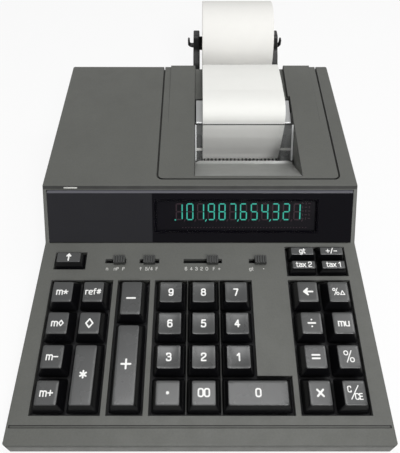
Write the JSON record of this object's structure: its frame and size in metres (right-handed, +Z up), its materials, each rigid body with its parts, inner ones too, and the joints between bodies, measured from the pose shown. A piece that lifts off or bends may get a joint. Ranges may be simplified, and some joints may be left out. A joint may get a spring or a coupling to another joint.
{
  "type": "printing calculator",
  "caption": "Desk calculator with sloped keyboard, slide switches, lit display, lift-off printer cover, ribbon printer mechanism and a paper roll on arms behind the case.",
  "frame": {"origin": "centre of the footprint of the whole part, on the table", "axes": "+X to the user's right, +Y from the front edge to the paper roll, +Z up"},
  "size_m": [0.202, 0.3506, 0.0838],
  "materials": {
    "case": "fine textured warm dark grey",
    "keys": "satin charcoal",
    "switches": "satin",
    "window": "smoked gloss",
    "tube": "dark glass",
    "clear": "clear gloss",
    "zinc": "zinc plated",
    "steel": "bare",
    "white": "moulded",
    "black": "satin black",
    "rubber": "matt",
    "paper": "plain paper",
    "plate": "moulded",
    "board": "coated board"
  },
  "bodies": {
    "case": {"top_case": "case", "base_pan": "case", "feet": "rubber", "screws": "steel", "display_window": "window", "display_tube": "tube", "printer_frame": "zinc", "drive_motor": "steel", "roll_holder": "black", "paper_web": "paper", "keyboard_plate": "plate", "main_board": "board"},
    "cover": {"printer_cover": "case", "tear_window": "clear", "paper_tail": "paper"},
    "roll": {"paper_roll": "paper"},
    "platen": {"platen_roller": "rubber"},
    "feed": {"feed_shaft": "white"},
    "gear": {"drive_gear": "white"},
    "head": {"print_head": "black"},
    "ribbon_left": {"spool_left": "black"},
    "ribbon_right": {"spool_right": "black"},
    "slider_print": {"slider_print": "switches"},
    "slider_round": {"slider_round": "switches"},
    "slider_decimal": {"slider_decimal": "switches"},
    "slider_total": {"slider_total": "switches"},
    "key_m_plus": {"key_m_plus": "keys"},
    "key_m_minus": {"key_m_minus": "keys"},
    "key_m_subtotal": {"key_m_subtotal": "keys"},
    "key_m_total": {"key_m_total": "keys"},
    "key_total": {"key_total": "keys"},
    "key_subtotal": {"key_subtotal": "keys"},
    "key_ref": {"key_ref": "keys"},
    "key_plus": {"key_plus": "keys"},
    "key_minus": {"key_minus": "keys"},
    "key_point": {"key_point": "keys"},
    "key_00": {"key_00": "keys"},
    "key_0": {"key_0": "keys"},
    "key_1": {"key_1": "keys"},
    "key_2": {"key_2": "keys"},
    "key_3": {"key_3": "keys"},
    "key_4": {"key_4": "keys"},
    "key_5": {"key_5": "keys"},
    "key_6": {"key_6": "keys"},
    "key_7": {"key_7": "keys"},
    "key_8": {"key_8": "keys"},
    "key_9": {"key_9": "keys"},
    "key_times": {"key_times": "keys"},
    "key_equals": {"key_equals": "keys"},
    "key_divide": {"key_divide": "keys"},
    "key_back": {"key_back": "keys"},
    "key_clear": {"key_clear": "keys"},
    "key_percent": {"key_percent": "keys"},
    "key_markup": {"key_markup": "keys"},
    "key_delta": {"key_delta": "keys"},
    "key_tax2": {"key_tax2": "keys"},
    "key_tax1": {"key_tax1": "keys"},
    "key_grand_total": {"key_grand_total": "keys"},
    "key_sign": {"key_sign": "keys"},
    "key_feed": {"key_feed": "keys"}
  },
  "joints": [
    {"name": "cover_lift", "type": "slide", "parent": "case", "child": "cover", "axis": [0, 0, 1], "range_m": [0, 0.045]},
    {"name": "roll_spin", "type": "hinge", "parent": "case", "child": "roll", "pos_m": [0.0305, 0.14235, 0.0508], "axis": [1, 0, 0], "continuous": true},
    {"name": "platen_spin", "type": "hinge", "parent": "case", "child": "platen", "pos_m": [0.0305, 0.03415, 0.0215], "axis": [1, 0, 0], "continuous": true},
    {"name": "feed_spin", "type": "hinge", "parent": "case", "child": "feed", "pos_m": [0.0305, 0.02985, 0.0301], "axis": [1, 0, 0], "continuous": true},
    {"name": "gear_spin", "type": "hinge", "parent": "case", "child": "gear", "pos_m": [0.0305, 0.04646, 0.03726], "axis": [1, 0, 0], "continuous": true},
    {"name": "head_slide", "type": "slide", "parent": "case", "child": "head", "axis": [1, 0, 0], "range_m": [-0.004, 0.042]},
    {"name": "spool_left_spin", "type": "hinge", "parent": "case", "child": "ribbon_left", "pos_m": [0.0135, -0.00535, 0.027], "axis": [0, 0, 1], "continuous": true},
    {"name": "spool_right_spin", "type": "hinge", "parent": "case", "child": "ribbon_right", "pos_m": [0.0475, -0.00535, 0.027], "axis": [0, 0, 1], "continuous": true},
    {"name": "slider_print_shift", "type": "slide", "parent": "case", "child": "slider_print", "axis": [1, 0, 0], "range_m": [-0.0068, 0.0018]},
    {"name": "slider_round_shift", "type": "slide", "parent": "case", "child": "slider_round", "axis": [1, 0, 0], "range_m": [-0.004, 0.0039]},
    {"name": "slider_decimal_shift", "type": "slide", "parent": "case", "child": "slider_decimal", "axis": [1, 0, 0], "range_m": [-0.0157, 0.0038]},
    {"name": "slider_total_shift", "type": "slide", "parent": "case", "child": "slider_total", "axis": [1, 0, 0], "range_m": [-0.0049, 0.0018]},
    {"name": "key_m_plus_press", "type": "slide", "parent": "case", "child": "key_m_plus", "axis": [0, 0.1392, -0.9903], "range_m": [0, 0.003], "stiffness_N_per_m": 200, "springref_m": -0.0015},
    {"name": "key_m_minus_press", "type": "slide", "parent": "case", "child": "key_m_minus", "axis": [0, 0.1392, -0.9903], "range_m": [0, 0.003], "stiffness_N_per_m": 200, "springref_m": -0.0015},
    {"name": "key_m_subtotal_press", "type": "slide", "parent": "case", "child": "key_m_subtotal", "axis": [0, 0.1392, -0.9903], "range_m": [0, 0.003], "stiffness_N_per_m": 200, "springref_m": -0.0015},
    {"name": "key_m_total_press", "type": "slide", "parent": "case", "child": "key_m_total", "axis": [0, 0.1392, -0.9903], "range_m": [0, 0.003], "stiffness_N_per_m": 200, "springref_m": -0.0015},
    {"name": "key_total_press", "type": "slide", "parent": "case", "child": "key_total", "axis": [0, 0.1392, -0.9903], "range_m": [0, 0.003], "stiffness_N_per_m": 200, "springref_m": -0.0015},
    {"name": "key_subtotal_press", "type": "slide", "parent": "case", "child": "key_subtotal", "axis": [0, 0.1392, -0.9903], "range_m": [0, 0.003], "stiffness_N_per_m": 200, "springref_m": -0.0015},
    {"name": "key_ref_press", "type": "slide", "parent": "case", "child": "key_ref", "axis": [0, 0.1392, -0.9903], "range_m": [0, 0.003], "stiffness_N_per_m": 200, "springref_m": -0.0015},
    {"name": "key_plus_press", "type": "slide", "parent": "case", "child": "key_plus", "axis": [0, 0.1392, -0.9903], "range_m": [0, 0.003], "stiffness_N_per_m": 200, "springref_m": -0.0015},
    {"name": "key_minus_press", "type": "slide", "parent": "case", "child": "key_minus", "axis": [0, 0.1392, -0.9903], "range_m": [0, 0.003], "stiffness_N_per_m": 200, "springref_m": -0.0015},
    {"name": "key_point_press", "type": "slide", "parent": "case", "child": "key_point", "axis": [0, 0.1392, -0.9903], "range_m": [0, 0.003], "stiffness_N_per_m": 200, "springref_m": -0.0015},
    {"name": "key_00_press", "type": "slide", "parent": "case", "child": "key_00", "axis": [0, 0.1392, -0.9903], "range_m": [0, 0.003], "stiffness_N_per_m": 200, "springref_m": -0.0015},
    {"name": "key_0_press", "type": "slide", "parent": "case", "child": "key_0", "axis": [0, 0.1392, -0.9903], "range_m": [0, 0.003], "stiffness_N_per_m": 200, "springref_m": -0.0015},
    {"name": "key_1_press", "type": "slide", "parent": "case", "child": "key_1", "axis": [0, 0.1392, -0.9903], "range_m": [0, 0.003], "stiffness_N_per_m": 200, "springref_m": -0.0015},
    {"name": "key_2_press", "type": "slide", "parent": "case", "child": "key_2", "axis": [0, 0.1392, -0.9903], "range_m": [0, 0.003], "stiffness_N_per_m": 200, "springref_m": -0.0015},
    {"name": "key_3_press", "type": "slide", "parent": "case", "child": "key_3", "axis": [0, 0.1392, -0.9903], "range_m": [0, 0.003], "stiffness_N_per_m": 200, "springref_m": -0.0015},
    {"name": "key_4_press", "type": "slide", "parent": "case", "child": "key_4", "axis": [0, 0.1392, -0.9903], "range_m": [0, 0.003], "stiffness_N_per_m": 200, "springref_m": -0.0015},
    {"name": "key_5_press", "type": "slide", "parent": "case", "child": "key_5", "axis": [0, 0.1392, -0.9903], "range_m": [0, 0.003], "stiffness_N_per_m": 200, "springref_m": -0.0015},
    {"name": "key_6_press", "type": "slide", "parent": "case", "child": "key_6", "axis": [0, 0.1392, -0.9903], "range_m": [0, 0.003], "stiffness_N_per_m": 200, "springref_m": -0.0015},
    {"name": "key_7_press", "type": "slide", "parent": "case", "child": "key_7", "axis": [0, 0.1392, -0.9903], "range_m": [0, 0.003], "stiffness_N_per_m": 200, "springref_m": -0.0015},
    {"name": "key_8_press", "type": "slide", "parent": "case", "child": "key_8", "axis": [0, 0.1392, -0.9903], "range_m": [0, 0.003], "stiffness_N_per_m": 200, "springref_m": -0.0015},
    {"name": "key_9_press", "type": "slide", "parent": "case", "child": "key_9", "axis": [0, 0.1392, -0.9903], "range_m": [0, 0.003], "stiffness_N_per_m": 200, "springref_m": -0.0015},
    {"name": "key_times_press", "type": "slide", "parent": "case", "child": "key_times", "axis": [0, 0.1392, -0.9903], "range_m": [0, 0.003], "stiffness_N_per_m": 200, "springref_m": -0.0015},
    {"name": "key_equals_press", "type": "slide", "parent": "case", "child": "key_equals", "axis": [0, 0.1392, -0.9903], "range_m": [0, 0.003], "stiffness_N_per_m": 200, "springref_m": -0.0015},
    {"name": "key_divide_press", "type": "slide", "parent": "case", "child": "key_divide", "axis": [0, 0.1392, -0.9903], "range_m": [0, 0.003], "stiffness_N_per_m": 200, "springref_m": -0.0015},
    {"name": "key_back_press", "type": "slide", "parent": "case", "child": "key_back", "axis": [0, 0.1392, -0.9903], "range_m": [0, 0.003], "stiffness_N_per_m": 200, "springref_m": -0.0015},
    {"name": "key_clear_press", "type": "slide", "parent": "case", "child": "key_clear", "axis": [0, 0.1392, -0.9903], "range_m": [0, 0.003], "stiffness_N_per_m": 200, "springref_m": -0.0015},
    {"name": "key_percent_press", "type": "slide", "parent": "case", "child": "key_percent", "axis": [0, 0.1392, -0.9903], "range_m": [0, 0.003], "stiffness_N_per_m": 200, "springref_m": -0.0015},
    {"name": "key_markup_press", "type": "slide", "parent": "case", "child": "key_markup", "axis": [0, 0.1392, -0.9903], "range_m": [0, 0.003], "stiffness_N_per_m": 200, "springref_m": -0.0015},
    {"name": "key_delta_press", "type": "slide", "parent": "case", "child": "key_delta", "axis": [0, 0.1392, -0.9903], "range_m": [0, 0.003], "stiffness_N_per_m": 200, "springref_m": -0.0015},
    {"name": "key_tax2_press", "type": "slide", "parent": "case", "child": "key_tax2", "axis": [0, 0.1392, -0.9903], "range_m": [0, 0.003], "stiffness_N_per_m": 200, "springref_m": -0.0015},
    {"name": "key_tax1_press", "type": "slide", "parent": "case", "child": "key_tax1", "axis": [0, 0.1392, -0.9903], "range_m": [0, 0.003], "stiffness_N_per_m": 200, "springref_m": -0.0015},
    {"name": "key_grand_total_press", "type": "slide", "parent": "case", "child": "key_grand_total", "axis": [0, 0.1392, -0.9903], "range_m": [0, 0.003], "stiffness_N_per_m": 200, "springref_m": -0.0015},
    {"name": "key_sign_press", "type": "slide", "parent": "case", "child": "key_sign", "axis": [0, 0.1392, -0.9903], "range_m": [0, 0.003], "stiffness_N_per_m": 200, "springref_m": -0.0015},
    {"name": "key_feed_press", "type": "slide", "parent": "case", "child": "key_feed", "axis": [0, 0.1392, -0.9903], "range_m": [0, 0.003], "stiffness_N_per_m": 200, "springref_m": -0.0015}
  ],
  "couplings": [
    {"joint": "platen_spin", "follows": "roll_spin", "ratio": 5.0769},
    {"joint": "gear_spin", "follows": "roll_spin", "ratio": -7.6154},
    {"joint": "feed_spin", "follows": "roll_spin", "ratio": 30},
    {"joint": "spool_right_spin", "follows": "spool_left_spin", "ratio": 1}
  ]
}
